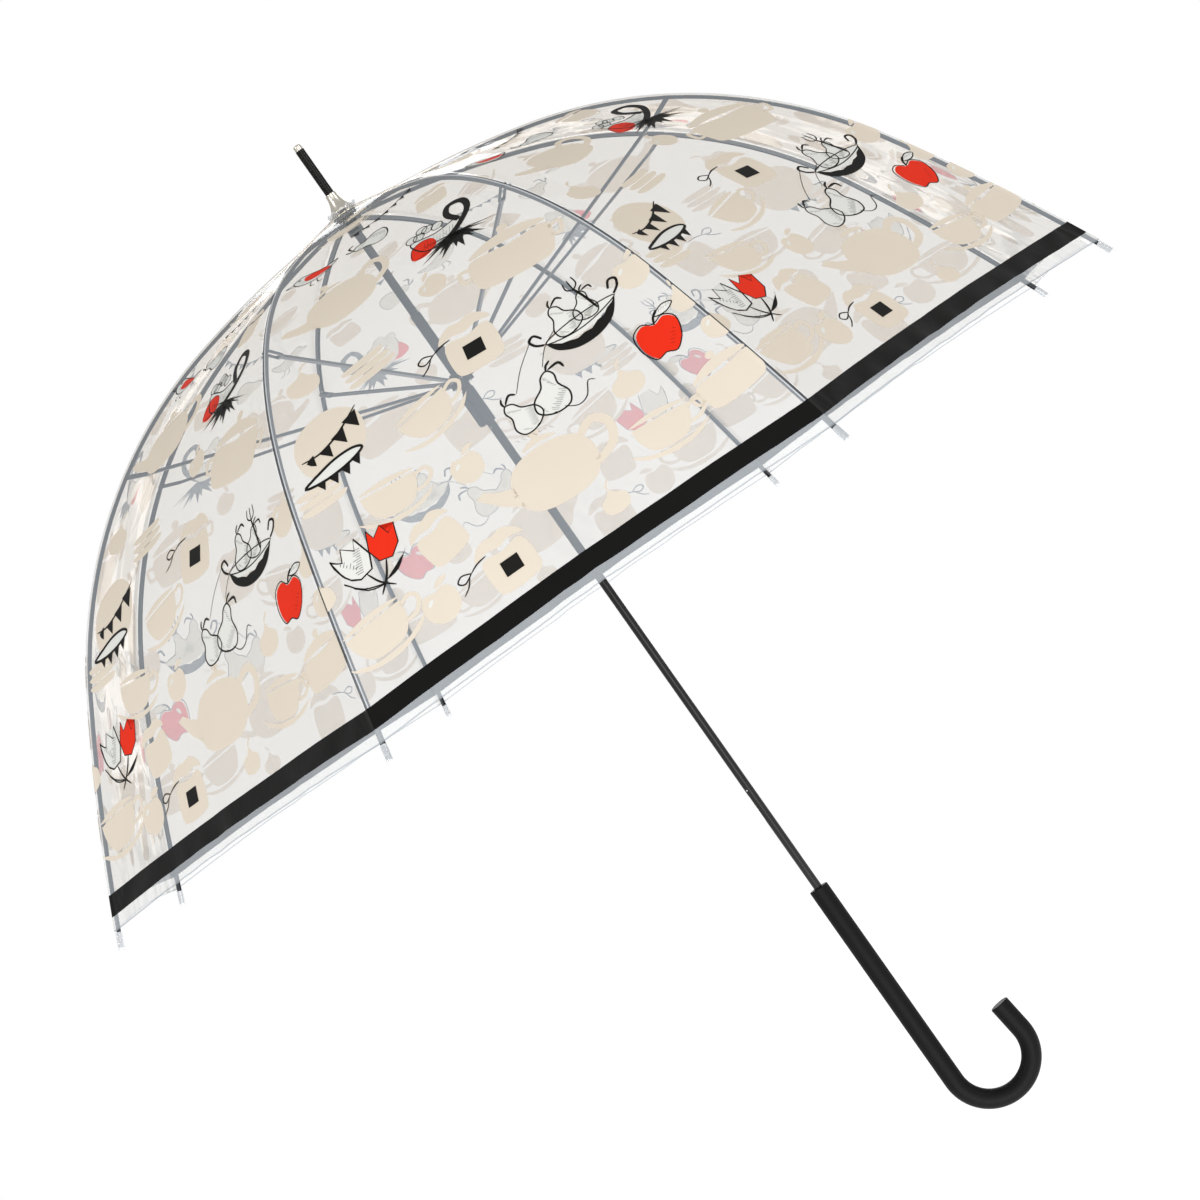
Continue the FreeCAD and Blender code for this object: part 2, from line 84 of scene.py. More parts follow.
def rib_at(s, offset):
    """Radius, height and slope at distance s along a rib, moved off its centre line."""
    x, z, slope = HINGE_R, NOTCH_Z, RIB_START
    for i, (length, radius) in enumerate(RIB_ARCS):
        step = s if i == len(RIB_ARCS) - 1 else min(s, length)
        turn = step / radius
        cx, cz = x - radius * math.sin(slope), z - radius * math.cos(slope)
        slope += turn
        x, z = cx + radius * math.sin(slope), cz + radius * math.cos(slope)
        s -= step
        if s <= TINY:
            break
    return x + offset * math.sin(slope), z + offset * math.cos(slope), slope


TENT_END = rib_at(TENT_S, FILM_GAP)


def film_line(s):
    """The film over a rib: flat under the washer, tented over the notch, then along the rib."""
    if s >= TENT_S:
        return rib_at(s, FILM_GAP)
    if s <= FLAT_S:
        return HOLE_R + s * (FLAT_R - HOLE_R) / FLAT_S, FLAT_Z, 0.0
    t = (s - FLAT_S) / (TENT_S - FLAT_S)
    x1, z1, end_slope = TENT_END
    reach = x1 - FLAT_R
    ways = (-math.tan(TENT_SLOPE) * reach, -math.tan(end_slope) * reach)
    x = FLAT_R + reach * t
    z = ((2 * t ** 3 - 3 * t ** 2 + 1) * FLAT_Z + (t ** 3 - 2 * t ** 2 + t) * ways[0]
         + (3 * t ** 2 - 2 * t ** 3) * z1 + (t ** 3 - t ** 2) * ways[1])
    return x, z, end_slope


def half_width(s):
    """From a gore's middle to its rib."""
    return film_line(s)[0] * math.sin(HALF_STEP)


def near(distance, reach):
    """1 at no distance, falling smoothly to nothing at about twice the reach."""
    return math.exp(-(distance / reach) ** 2)


def film_wave(gore, y, s, side, from_rib):
    """How far the film's unevenness, pleats, ruffle, crease and puckers push it out."""
    wave = noise.noise(Vector((y * 14, s * 9, gore * 7.3))) * BROAD_WAVE
    wave += noise.noise(Vector((y * 45, s * 18, gore * 3.1 + 5))) * FINE_WAVE
    tied = near(HEM_S - s, PLEAT_DOWN) * math.exp(-from_rib / PLEAT_ACROSS)
    wave += PLEAT * tied * math.sin(from_rib * 900 + s * 160 * side + gore)
    wave += RUFFLE * near(HEM_S - s, RUFFLE_DOWN) * noise.noise(Vector((y * 60, s * 8, gore * 5.7 + 2)))
    creased = near(from_rib - CREASE_D, CREASE_WIDE) * min(1, (s / CREASE_S) ** 2)
    wave += CREASE * creased * (0.5 + noise.noise(Vector((s * 12, gore * 9.1, side))))
    return wave + PUCKER * math.exp(-s / PUCKER_DOWN) * math.sin(y * 1500)


def film_point(gore, y, s):
    """A point of one gore of film: y to the right of its middle, seen from outside, and s below the top."""
    t = min(1.0, abs(y) / half_width(s))
    middle = 1 - t * t
    down = s - LIFT * middle * (s / HEM_S) ** 3
    r, z, slope = film_line(down)
    nx, nz = math.sin(slope), math.cos(slope)
    from_rib = max(0.0, half_width(s) - abs(y))
    rise = SEAM_RISE * near(from_rib, SEAM_WIDE) * min(1, s / TENT_S)
    scale = 1 + rise * nx / r
    flat = r * math.cos(HALF_STEP)
    wave = film_wave(gore, y, s, 1 if y > 0 else -1, from_rib)
    push = middle * (wave - SAG * math.sin(math.pi * min(1, s / HEM_S)) ** 0.7)
    angle = gore * STEP
    x = flat * scale + push * nx
    return Vector((x * math.cos(angle) - y * scale * math.sin(angle),
                   x * math.sin(angle) + y * scale * math.cos(angle),
                   z + rise * nz + push * nz))


def film_normal(gore, y, s, side):
    """Square to the film, measured on this side of the rib, so that pieces meet without a shading step."""
    d = 0.0012                 # half the length that the slope is measured over
    inside = min(abs(y), half_width(s) - 1.5 * d)
    y = side * max(inside, d) if abs(y) > d else y
    s = max(s, 2 * d)
    across = film_point(gore, y + d, s) - film_point(gore, y - d, s)
    along = film_point(gore, y, s + d) - film_point(gore, y, s - d)
    return along.cross(across).normalized()


# ---- materials --------------------------------------------------------------------------------------------
def linear(r, g, b):
    """sRGB 0-255 to a linear colour."""
    def one(c):
        c /= 255
        return c / 12.92 if c <= 0.04045 else ((c + 0.055) / 1.055) ** 2.4
    return (one(r), one(g), one(b), 1.0)


def material(name, color, roughness, metallic=0.0, specular=0.5, vary=0.15, grain=600.0, rough_vary=0.1,
             bump=0.1, depth=0.0002, stretch=(1, 1, 1), alpha=1.0, clear=None, ior=1.5, glow=None):
    """A Principled surface with its colour, roughness and bump from noise. A film or clear plastic has alpha,
    the share of it that the surface covers, and clear, the colour of the light let through by the rest. glow
    is painted light: an emission that stands in for the daylight that comes through thin ink from behind."""
    m = bpy.data.materials.new(name)
    m.use_nodes = True
    nodes, links = m.node_tree.nodes, m.node_tree.links
    nodes.clear()
    out = nodes.new("ShaderNodeOutputMaterial")
    shader = nodes.new("ShaderNodeBsdfPrincipled")
    shader.inputs["Metallic"].default_value = metallic
    shader.inputs["Specular IOR Level"].default_value = specular
    shader.inputs["IOR"].default_value = ior
    # glow is painted light, an emission in the surface itself
    if glow:
        shader.inputs["Emission Color"].default_value = glow
        shader.inputs["Emission Strength"].default_value = 1.0
    place = nodes.new("ShaderNodeTexCoord")
    mapping = nodes.new("ShaderNodeMapping")
    mapping.inputs["Scale"].default_value = stretch
    links.new(place.outputs["Object"], mapping.inputs["Vector"])
    fine = nodes.new("ShaderNodeTexNoise")
    fine.inputs["Scale"].default_value = grain
    fine.inputs["Detail"].default_value = 4
    broad = nodes.new("ShaderNodeTexNoise")
    broad.inputs["Scale"].default_value = grain * 0.06
    broad.inputs["Detail"].default_value = 3
    for tex in (fine, broad):
        links.new(mapping.outputs["Vector"], tex.inputs["Vector"])
    tint = nodes.new("ShaderNodeMix")
    tint.data_type = "RGBA"
    tint.inputs["A"].default_value = [c * (1 - vary) for c in color[:3]] + [1]
    tint.inputs["B"].default_value = [min(1, c * (1 + vary)) for c in color[:3]] + [1]
    links.new(broad.outputs["Fac"], tint.inputs["Factor"])
    links.new(tint.outputs["Result"], shader.inputs["Base Color"])
    rough = nodes.new("ShaderNodeMapRange")
    rough.inputs["To Min"].default_value = max(0.02, roughness - rough_vary)
    rough.inputs["To Max"].default_value = min(1, roughness + rough_vary)
    links.new(fine.outputs["Fac"], rough.inputs["Value"])
    links.new(rough.outputs["Result"], shader.inputs["Roughness"])
    dents = nodes.new("ShaderNodeBump")
    dents.inputs["Strength"].default_value = bump
    dents.inputs["Distance"].default_value = depth
    links.new(fine.outputs["Fac"], dents.inputs["Height"])
    links.new(dents.outputs["Normal"], shader.inputs["Normal"])
    surface = shader
    if clear:
        through = nodes.new("ShaderNodeBsdfTransparent")
        through.inputs["Color"].default_value = clear
        surface = nodes.new("ShaderNodeMixShader")
        surface.inputs["Fac"].default_value = alpha
        links.new(through.outputs[0], surface.inputs[1])
        links.new(shader.outputs[0], surface.inputs[2])
    links.new(surface.outputs[0], out.inputs["Surface"])
    return m


film = material("canopy film", (0.53, 0.59, 0.65, 1), 0.065, alpha=0.36, clear=(1.0, 0.95, 0.89, 1),
                vary=0.03, grain=90, rough_vary=0.03, bump=0.14, depth=0.0006, specular=1.0, ior=1.6)
film_on_rib = material("film drawn over a rib", (0.62, 0.66, 0.70, 1), 0.06, alpha=0.1, clear=(1, 1, 1, 1),
                       vary=0.03, grain=120, rough_vary=0.03, bump=0.1, depth=0.0004, specular=1.0, ior=1.7)
# a real welded seam runs along each rib; its whitish colour is a painted highlight, the bright line that
# light draws beside the rib
seam_film_painted_highlight = material("welded seam with painted highlight", (0.86, 0.89, 0.92, 1), 0.1, alpha=0.62, clear=(1, 0.98, 0.96, 1),
                     vary=0.08, grain=160, rough_vary=0.05, bump=0.2, depth=0.0004, specular=1.0, ior=1.6)
hem_film = material("clear hem", (0.68, 0.73, 0.78, 1), 0.08, alpha=0.44, clear=(1, 0.97, 0.92, 1), vary=0.06,
                    grain=110, rough_vary=0.05, bump=0.3, depth=0.001, specular=1.0, ior=1.6)
hem_edge = material("edge of the hem", (0.34, 0.37, 0.40, 1), 0.15, alpha=0.6, clear=(0.9, 0.92, 0.94, 1),
                    vary=0.2, grain=200, bump=0.2, specular=1.0)
band_ink = material("black band", linear(8, 8, 7), 0.2, vary=0.3, grain=140, rough_vary=0.08, bump=0.25,
                    depth=0.0008, specular=0.22)
clear_plastic = material("clear plastic", (0.80, 0.83, 0.86, 1), 0.08, alpha=0.4, clear=(0.97, 0.97, 0.97, 1),
                         vary=0.03, grain=300, rough_vary=0.04, bump=0.1, specular=1.0, ior=1.6)
# the beige, white and red inks have a painted glow: emission that stands in for daylight through the thin ink
# from behind
INKS = {
    "beige": material("beige print", linear(193, 184, 172), 0.5, vary=0.03, grain=260, bump=0.06,
                      specular=0.2, glow=(0.17, 0.145, 0.105, 1)),
    "white": material("white print", linear(206, 206, 202), 0.5, vary=0.02, grain=300, bump=0.06,
                      specular=0.2, glow=(0.1, 0.1, 0.09, 1)),
    "red": material("red print", linear(210, 34, 10), 0.5, vary=0.08, grain=400, bump=0.06, specular=0.15,
                    glow=(0.08, 0.008, 0.002, 1)),
    "black": material("black print", linear(22, 21, 20), 0.5, vary=0.3, grain=400, bump=0.06, specular=0.15),
}


# ---- meshes -----------------------------------------------------------------------------------------------
def new_object(name, data):
    thing = bpy.data.objects.new(name, data)
    bpy.context.scene.collection.objects.link(thing)
    return thing


def new_piece(name, points, faces, normals, materials, indices):
    """A smooth piece with its own normals. indices are the material of each face."""
    mesh = bpy.data.meshes.new(name)
    mesh.from_pydata([tuple(p) for p in points], [], faces)
    for m in materials:
        mesh.materials.append(m)
    for face, index in zip(mesh.polygons, indices):
        face.material_index = index
        face.use_smooth = True
    mesh.update()
    mesh.normals_split_custom_set_from_vertices([tuple(n) for n in normals])
    return new_object(name, mesh)


def steps(low, high, size):
    """Even steps of about this size from low up to high, without high."""
    count = max(1, round((high - low) / size))
    return [low + (high - low) * k / count for k in range(count)]


ROWS = (steps(0, FLAT_S, 0.004) + steps(FLAT_S, CROWN_S, 0.005) + steps(CROWN_S, RIVET_S, 0.0075)
        + steps(RIVET_S, BAND_S[0], 0.0075) + steps(*BAND_S, 0.0038) + steps(BAND_S[1], HEM_EDGE_S, 0.003)
        + [HEM_EDGE_S, HEM_S])
# columns of points beside a rib, in metres from it: over the rib, down its seam and through the crease
NEAR_RIB = (0, 0.0011, 0.0019, 0.003, 0.0052, 0.0077, 0.0092, 0.0105, 0.0118, 0.0135, 0.017, 0.022)
FAR_COLUMNS = 12           # the rest, evenly spaced to the gore's middle
OVER_RIB = 2               # columns of faces that lie on the rib and its seam
NARROW = 0.05              # where half a gore is narrower than this, the columns beside the rib close up


def columns(s):
    """Distances across a half gore, from the rib to the middle: close together near the rib."""
    wide = half_width(s)
    beside = [d * min(1, wide / NARROW) for d in NEAR_RIB]
    last = beside[-1]
    return beside + [last + (wide - last) * k / FAR_COLUMNS for k in range(1, FAR_COLUMNS + 1)]


COLUMNS = len(NEAR_RIB) + FAR_COLUMNS


def film_grid(gore, side):
    """Points and normals of half a gore, one list for each row, from the rib to the middle."""
    grid = []
    for s in ROWS:
        ys = [side * (half_width(s) - d) for d in columns(s)]
        grid.append([(film_point(gore, y, s), film_normal(gore, y, s, side)) for y in ys])
    return grid


GRIDS = {(gore, side): film_grid(gore, side) for gore in range(RIB_COUNT) for side in (-1, 1)}
FILM_FINISHES = [film, film_on_rib, seam_film_painted_highlight, band_ink, hem_film, hem_edge]
CLEAR, ON_RIB, SEAM_PAINTED_HIGHLIGHT, BAND, HEM, EDGE = range(len(FILM_FINISHES))


def rows_between(low, high):
    return [i for i, s in enumerate(ROWS) if low - TINY <= s <= high + TINY]


def finish_at(s, column):
    """Which of FILM_FINISHES a face has, s down the rib and this many columns from it."""
    if s > HEM_EDGE_S:
        return EDGE
    if s > BAND_S[1]:
        return HEM
    if s > BAND_S[0]:
        return BAND
    if s > TENT_S and column < OVER_RIB:
        # the second column from the rib is the seam, drawn whitish as a painted highlight
        return SEAM_PAINTED_HIGHLIGHT if column == OVER_RIB - 1 else ON_RIB
    return CLEAR


def film_sheet(name, low, high, sides):
    """Film from s = low to s = high, on one or both sides of a rib, and its area. sides are (gore, side)."""
    rows = rows_between(low, high)
    points, normals, faces, indices = [], [], [], []
    area = 0.0
    for gore, side in sides:
        start = len(points)
        for i in rows:
            points += [point for point, normal in GRIDS[gore, side][i]]
            normals += [normal for point, normal in GRIDS[gore, side][i]]
        for k, i in enumerate(rows[:-1]):
            middle = (ROWS[i] + ROWS[i + 1]) / 2
            area += half_width(middle) * (ROWS[i + 1] - ROWS[i])
            for j in range(COLUMNS - 1):
                a = start + k * COLUMNS + j
                quad = [a, a + 1, a + COLUMNS + 1, a + COLUMNS]
                faces.append(quad if side > 0 else quad[::-1])
                indices.append(finish_at(middle, j))
    return new_piece(name, points, faces, normals, FILM_FINISHES, indices), area


# ---- prints -----------------------------------------------------------------------------------------------
# Each motif is drawn about (0, 0) in millimetres, x to the right and y towards the top of the umbrella, as
# (ink, polygon). A gore's motifs are cut along the film's own grid, so that they lie on it.
LEVELS = {"beige": 0.00022, "white": 0.00029, "red": 0.00036, "black": 0.00043}   # metres outside the film


def spline(points, closed=False, fine=5):
    """A smooth line through the points."""
    n = len(points)
    result = []
    for i in range(n if closed else n - 1):
        p = [points[k % n] if closed else points[min(max(k, 0), n - 1)] for k in range(i - 1, i + 3)]
        for step in range(fine):
            t = step / fine
            result.append(tuple(
                0.5 * (2 * p[1][c] + (p[2][c] - p[0][c]) * t
                       + (2 * p[0][c] - 5 * p[1][c] + 4 * p[2][c] - p[3][c]) * t * t
                       + (3 * p[1][c] - p[0][c] - 3 * p[2][c] + p[3][c]) * t ** 3) for c in (0, 1)))
    return result if closed else result + [points[-1]]


def blob(ink, points, fine=4):
    return [(ink, spline(points, True, fine))]


def moved(shapes, x=0.0, y=0.0, scale=1.0, tilt=0.0):
    c, s = math.cos(math.radians(tilt)) * scale, math.sin(math.radians(tilt)) * scale
    return [(ink, [(x + a * c - b * s, y + a * s + b * c) for a, b in ring]) for ink, ring in shapes]


def oval(ink, x, y, rx, ry=None, tilt=0.0, count=18):
    """An ellipse, or a circle where only rx is given."""
    ry = ry or rx
    angles = [2 * math.pi * k / count for k in range(count)]
    ring = [(rx * math.cos(angle), ry * math.sin(angle)) for angle in angles]
    return moved([(ink, ring)], x, y, tilt=tilt)


def stroke(ink, points, width, closed=False, thin=0.35, fine=4, straight=False):
    """A pen line, thinner at its ends, as a row of small quads."""
    line = list(points) if straight else spline(points, closed, fine)
    n = len(line)
    sides = []
    for i, (x, y) in enumerate(line):
        if closed:
            before, after = line[i - 1], line[(i + 1) % n]
            half = width / 2
        else:
            before, after = line[max(i - 1, 0)], line[min(i + 1, n - 1)]
            half = width / 2 * (thin + (1 - thin) * math.sin(math.pi * i / (n - 1)) ** 0.6)
        dx, dy = after[0] - before[0], after[1] - before[1]
        length = math.hypot(dx, dy) or 1
        nx, ny = -dy / length * half, dx / length * half
        sides.append(((x + nx, y + ny), (x - nx, y - ny)))
    pairs = zip(sides, sides[1:] + sides[:1]) if closed else zip(sides, sides[1:])
    return [(ink, [a[0], a[1], b[1], b[0]]) for a, b in pairs]


def hatch(ink, x0, y0, x1, y1, count, dx, dy, width=0.45):
    """Short parallel pen strokes whose starts run from one point to another."""
    shapes = []
    for k in range(count):
        t = k / max(1, count - 1)
        x, y = x0 + (x1 - x0) * t, y0 + (y1 - y0) * t
        grow = 0.75 + 0.25 * math.sin(k * 2.4)
        shapes += stroke(ink, [(x, y), (x + dx * grow, y + dy * grow)], width, straight=True)
    return shapes


def teapot():
    body = blob("beige", [(-21, -13), (-25, 0), (-18, 14), (0, 18.5), (18, 14), (25, 0), (21, -13), (10, -19),
                          (-10, -19)])
    spout = [("beige", [(-22, -10), (-32, -3), (-43, 9), (-38, 11), (-30, 6), (-23, 4)])]
    lid = blob("beige", [(-10, 19.8), (-6, 23), (0, 24.6), (6, 23), (10, 19.8), (0, 20.6)])
    handle = stroke("beige", [(20, 10), (30, 16), (37, 9), (34, -3), (22, -9)], 5.2, thin=0.8)
    return body + spout + lid + handle + oval("beige", 0, 27.4, 3)


def cup():
    bowl = [("beige", spline([(-18, 7), (-16.5, -3), (-9, -12.5), (9, -12.5), (16.5, -3), (18, 7)]))]
    rim = blob("beige", [(-18.4, 9), (-9, 11.6), (0, 12.4), (9, 11.6), (18.4, 9), (0, 8.4)])
    handle = stroke("beige", [(17, 4), (24, 6), (27, 1), (22, -5), (14.5, -6)], 2.6, thin=0.8)
    saucer = [("beige", spline([(-26, -8), (-17, -15), (0, -18.5), (17, -15), (26, -8)])
               + spline([(16, -12.4), (8, -14.6), (-8, -14.6), (-16, -12.4)]))]
    return bowl + rim + handle + saucer


def plain_jar():
    """A jar with a cloth over its lid."""
    body = blob("beige", [(-12, 7), (-13.5, -10), (-9, -16), (9, -16), (13.5, -10), (12, 7), (0, 6)])
    cloth = blob("beige", [(-14.5, 9), (-12, 14), (-6, 17.5), (0, 16.6), (6, 17.8), (12, 14), (14.5, 9),
                           (7, 10.6), (0, 9), (-7, 10.6)])
    return body + cloth


def jar():
    """The same jar with a plain black label and a string bow."""
    shapes = plain_jar() + [("black", [(-5.6, -8.2), (4.8, -8.6), (5.6, 0.4), (-4.8, 0.8)])]
    shapes += stroke("black", [(-8, 9.4), (-14, 8.6), (-19, 6.4)], 0.9)
    shapes += stroke("black", [(-19, 6.4), (-24, 8.6), (-27.5, 6.2), (-24.5, 3.6), (-19, 6.4)], 0.9, thin=0.7)
    return shapes + stroke("black", [(-20.4, 5.8), (-24, 1), (-28.5, -2)], 0.8)


def cooking_pot():
    body = blob("beige", [(-22, 8), (-23, -8), (-16, -16), (16, -16), (23, -8), (22, 8), (0, 7.4)])
    lid = blob("beige", [(-22, 10), (-14, 16), (0, 18.6), (14, 16), (22, 10), (0, 10.6)])
    ears = stroke("beige", [(-22, 3), (-29, 4), (-28, -4), (-22, -3)], 2.6, thin=0.8)
    ears += stroke("beige", [(22, 3), (29, 4), (28, -4), (22, -3)], 2.6, thin=0.8)
    return body + lid + ears + oval("beige", 0, 21.6, 3.2)


def round_fruit():
    fruit = blob("beige", [(0, 8.6), (6, 9.6), (10, 4), (9, -5), (3, -9.6), (-3, -9.6), (-9, -5), (-10, 4),
                           (-6, 9.6)])
    leaf = blob("beige", [(0.8, 10.4), (5, 14.6), (10, 13.6), (5.6, 10.8)])
    return fruit + leaf + oval("white", -4.6, 4.6, 2.4, 1.1, 40, 10)


def onion():
    bulb = blob("beige", [(0, 10), (3, 6), (9, 2), (8, -6), (0, -9), (-8, -6), (-9, 2), (-3, 6)])
    return bulb + stroke("beige", [(-0.6, 10.5), (0.6, 13.6), (3.4, 16)], 1.6)


def plates():
    shapes = []
    for k in range(3):
        y = 6.5 * k - 7
        shapes += blob("beige", [(-17 + k, y + 2.6), (0, y + 3.6), (17 - k, y + 2.6), (11, y - 1.8),
                                 (-11, y - 1.8)])
    return shapes


def bunting():
    """Two short strings of black pennants before a beige parasol."""
    back = blob("beige", [(-14, -12), (-19, 2), (-12, 17), (6, 22), (19, 12), (18, -4), (8, -14)])
    top = [(-17, 2), (-8, 0.6), (2, 2.6), (11, 6.6), (21, 12.6)]
    shapes = back + stroke("black", top, 1.2)
    for x, y, size in ((-12.5, 0.8, 5.2), (-3.8, 1.0, 7.0), (5.6, 4.2, 8.4), (15.0, 8.8, 9.2)):
        shapes += [("black", [(x - size / 2, y - 0.6), (x + size / 2, y + 1.6), (x + size * 0.16, y - size)])]
    low = [(-23, -12), (-14, -9.4), (-3, -7.6), (7, -8.6), (11, -12), (2, -14.6), (-12, -14.8)]
    shapes += blob("white", low) + stroke("black", low, 1.5, closed=True)
    for x, size in ((-15, 5), (-8, 6.4), (-1, 6.4), (5.6, 5.2)):
        shapes += [("black", [(x - size / 2, -14.4), (x + size / 2, -14.2), (x - size * 0.1, -14.4 - size)])]
    return shapes


def apple():
    """A red apple in a loose pen outline."""
    ring = [(0, 8.4), (6, 11), (11.4, 6.5), (10.6, -3.5), (5.6, -11), (0, -9.6), (-5.6, -11), (-10.6, -3.5),
            (-11.4, 6.5), (-6, 11)]
    outline = [(x * 1.06 - 0.5, y * 1.05 + 0.4) for x, y in ring]
    shapes = blob("red", ring) + stroke("black", outline, 0.7, True)
    shapes += stroke("black", [(0, 8.4), (1, 12.6), (4, 16.4)], 1.4)
    leaf = [(2, 13), (7.4, 17.6), (13.4, 16.6), (8.6, 12.6)]
    shapes += blob("white", leaf) + stroke("black", leaf, 0.7, True)
    shapes += hatch("black", 5, 14.4, 11, 15.6, 5, 1, 1.9)
    shapes += oval("white", -5.6, 4.4, 1.2, 2.7, -24, 12)
    return shapes + hatch("black", 5.4, -6.6, 9, 1, 5, -2.6, 0.9)


def pear():
    """A pear in pen lines only, with its shaded side hatched."""
    ring = [(0, 13), (3.6, 10), (4.6, 4), (9.4, -2.5), (8.4, -9.6), (0, -12.4), (-8.4, -9.6), (-9.4, -2.5),
            (-4.6, 4), (-3.6, 10)]
    shapes = blob("white", ring) + stroke("black", ring, 0.95, True)
    shapes += stroke("black", [(0, 13), (0.6, 16), (3, 18.4)], 1.4)
    shapes += hatch("black", 2, -10.8, 8.4, -1, 12, -4.4, 1.6, 0.5)
    shapes += hatch("black", -1, 9, 3.4, 3.4, 6, -2.6, 0.8, 0.5)
    shapes += hatch("black", -7, -6, -5, -9, 4, 1.6, -1, 0.5)
    shapes += stroke("black", [(1, 13.4), (7, 15.6), (9.6, 12)], 1.6)
    return shapes + oval("black", 0, -12.2, 1.1, 0.7, 0, 8)


def pear_on_its_side():
    return moved(pear(), tilt=84)


def tulips():
    """A red tulip leaning on one in pen lines."""
    cupped = [(-6.4, 8), (-3.4, 3.6), (0, 8.8), (3.4, 3.6), (6.4, 8), (6.8, -2), (3, -8), (-3, -8),
              (-6.8, -2)]
    head = [("red", cupped)] + stroke("black", cupped + cupped[:1], 0.6, straight=True, thin=0.8)
    stem = stroke("black", [(0, -8), (-1.4, -16), (-5, -24)], 1.1)
    leaf = [(-2, -18), (5, -13), (9.4, -5.5), (4.6, -14.6)]
    red = head + stem + blob("black", leaf)
    line = [("white", cupped)] + stroke("black", cupped + cupped[:1], 0.8, straight=True, thin=0.8)
    line += hatch("black", 0, -6.2, 5.6, 3, 11, -3.6, 1.1, 0.55)
    line += hatch("black", -5, 3, -1.6, -3.4, 6, 2, 1.6, 0.55)
    line += stroke("black", [(0, -8), (1.4, -15), (5, -21)], 0.9)
    second = [(2, -17), (-5, -12), (-9, -4), (-4.4, -13.6)]
    line += blob("white", second) + stroke("black", second, 0.6, True)
    return moved(red, 8, 2, 1.15, -14) + moved(line, -9, 1, 1.25, 16)


def pan():
    """A black pan with ring handles, a fork and fruit in it."""
    shapes = moved(pear(), -7, 7, 0.95, 10) + moved(pear(), 7.5, 6, 0.8, -16)
    bowl = [(-24, 0), (-20, -9), (-9, -16), (5, -17), (17, -12), (25, -1)]
    scallop = [(21, -4), (17, -5.2), (13, -8), (8, -8.4), (3, -10.6), (-2, -9.8), (-7, -10.4), (-12, -8),
               (-16, -6.6), (-20, -3)]
    shapes += [("white", spline([(-24, 0), (-10, 1.8), (10, 1.6), (25, -1), (16, -6), (0, -9), (-16, -7)]))]
    shapes += [("black", spline(bowl) + scallop)]
    rim = [(-24, 0), (-12, -4.6), (0, -6), (13, -4.6), (25, -1), (12, 2), (-10, 2.6)]
    shapes += stroke("black", rim, 0.8, True)
    for x, flip in ((-26, 1), (26.5, -1)):
        ring = [(x + flip * 1.5, 0), (x - flip * 3, 3.4), (x - flip * 4.6, 8.4), (x - flip * 0.6, 10),
                (x + flip * 2.4, 5)]
        shapes += stroke("black", ring, 1.7, thin=0.8)
    shapes += stroke("black", [(13, -1), (10.6, 12), (8.4, 20)], 1.6, thin=0.7)
    shapes += stroke("black", [(5, 28), (4.8, 22.4), (8.4, 20), (12, 23), (11.6, 29)], 1.0, thin=0.7)
    return shapes + stroke("black", [(8.4, 20), (8.2, 28.4)], 0.9, thin=0.7)


def pears_on_strings():
    """Two pears in pen lines, tied by strings to the pan above them."""
    shapes = moved(pear(), -13, -4, 1.0, 24) + moved(pear(), 8, -2, 1.15, -18)
    shapes += stroke("black", [(-8.4, 11), (2, 24), (17, 37)], 0.5, thin=0.8)
    shapes += stroke("black", [(12.6, 16), (20, 26), (31, 33)], 0.5, thin=0.8)
    shapes += stroke("black", [(10, -15), (17, -20), (24, -18), (29, -10), (33, -12)], 0.8)
    return shapes + hatch("black", -24, -16, -4, -20, 7, 1.8, -2.6)


def basket():
    """Red berries spilling from a white basket with a thick black handle, on a tuft of black grass."""
    shapes = []
    for k in range(21):
        angle = math.radians(150 + k * 9.5)
        reach = 17 + 6 * math.sin(k * 2.1)
        tip = (7 + reach * 1.35 * math.cos(angle), -9 + reach * math.sin(angle) * 0.75)
        shapes += [("black", [(3, -8), (11, -9), tip])]
    handle = [(2, -10), (12, -3), (20, 8), (19, 19), (11, 22), (8, 13), (13, 2)]
    shapes += stroke("black", handle, 4.2, thin=0.9)
    side = [(-17, 8), (-13, -6), (-3, -11), (8, -8), (13, 4), (-2, 3)]
    shapes += blob("white", side) + stroke("black", side, 0.9, True)
    shapes += hatch("black", -11, -4, 7, -5, 10, 1.8, 6.4, 0.5)
    shapes += hatch("black", -9, -7, 6, -7.6, 8, -1.8, 4.8, 0.5)
    shapes += blob("red", [(-20, -9), (-18, 1), (-11, 4), (-5, 1), (-4, -7), (-12, -12)])
    shapes += stroke("black", [(-20, -9), (-18, 1), (-11, 4), (-5, 1)], 0.6)
    for x, y in ((-11, 10), (-5, 12.4), (0.6, 9.4), (-8, 15), (-15.4, 11.4)):
        ring = [(x + 3.6 * math.cos(k), y + 3.6 * math.sin(k)) for k in range(6)]
        shapes += blob("white", ring) + stroke("black", ring, 0.6, True)
        shapes += hatch("black", x - 1, y - 2.4, x + 2, y - 0.6, 3, 0.6, 2)
    return shapes


def bird():
    """A small bird in pen lines with a red back."""
    ring = [(-10, 3), (-6, 7), (-1, 5.4), (8, 2), (15, 4), (10, -2), (2, -6), (-6, -3)]
    shapes = blob("white", ring) + blob("red", [(-3, 4.6), (6, 2.6), (11, -0.6), (4, -3.4), (-3, -1)])
    shapes += stroke("black", ring, 0.7, True) + stroke("black", [(-10, 3), (-14, 2), (-9.6, 0.6)], 0.8)
    shapes += hatch("black", -6, 0, -1, -3.4, 5, 1.8, 1.6) + hatch("black", 10, 1, 13, 3, 3, -3, 0.4)
    shapes += oval("black", -6.6, 4.2, 0.8, count=8)
    shapes += stroke("black", [(0, -5.6), (-1, -10), (1.4, -11)], 0.6)
    return shapes + stroke("black", [(3, -5.4), (3.4, -10), (6, -10.6)], 0.6)


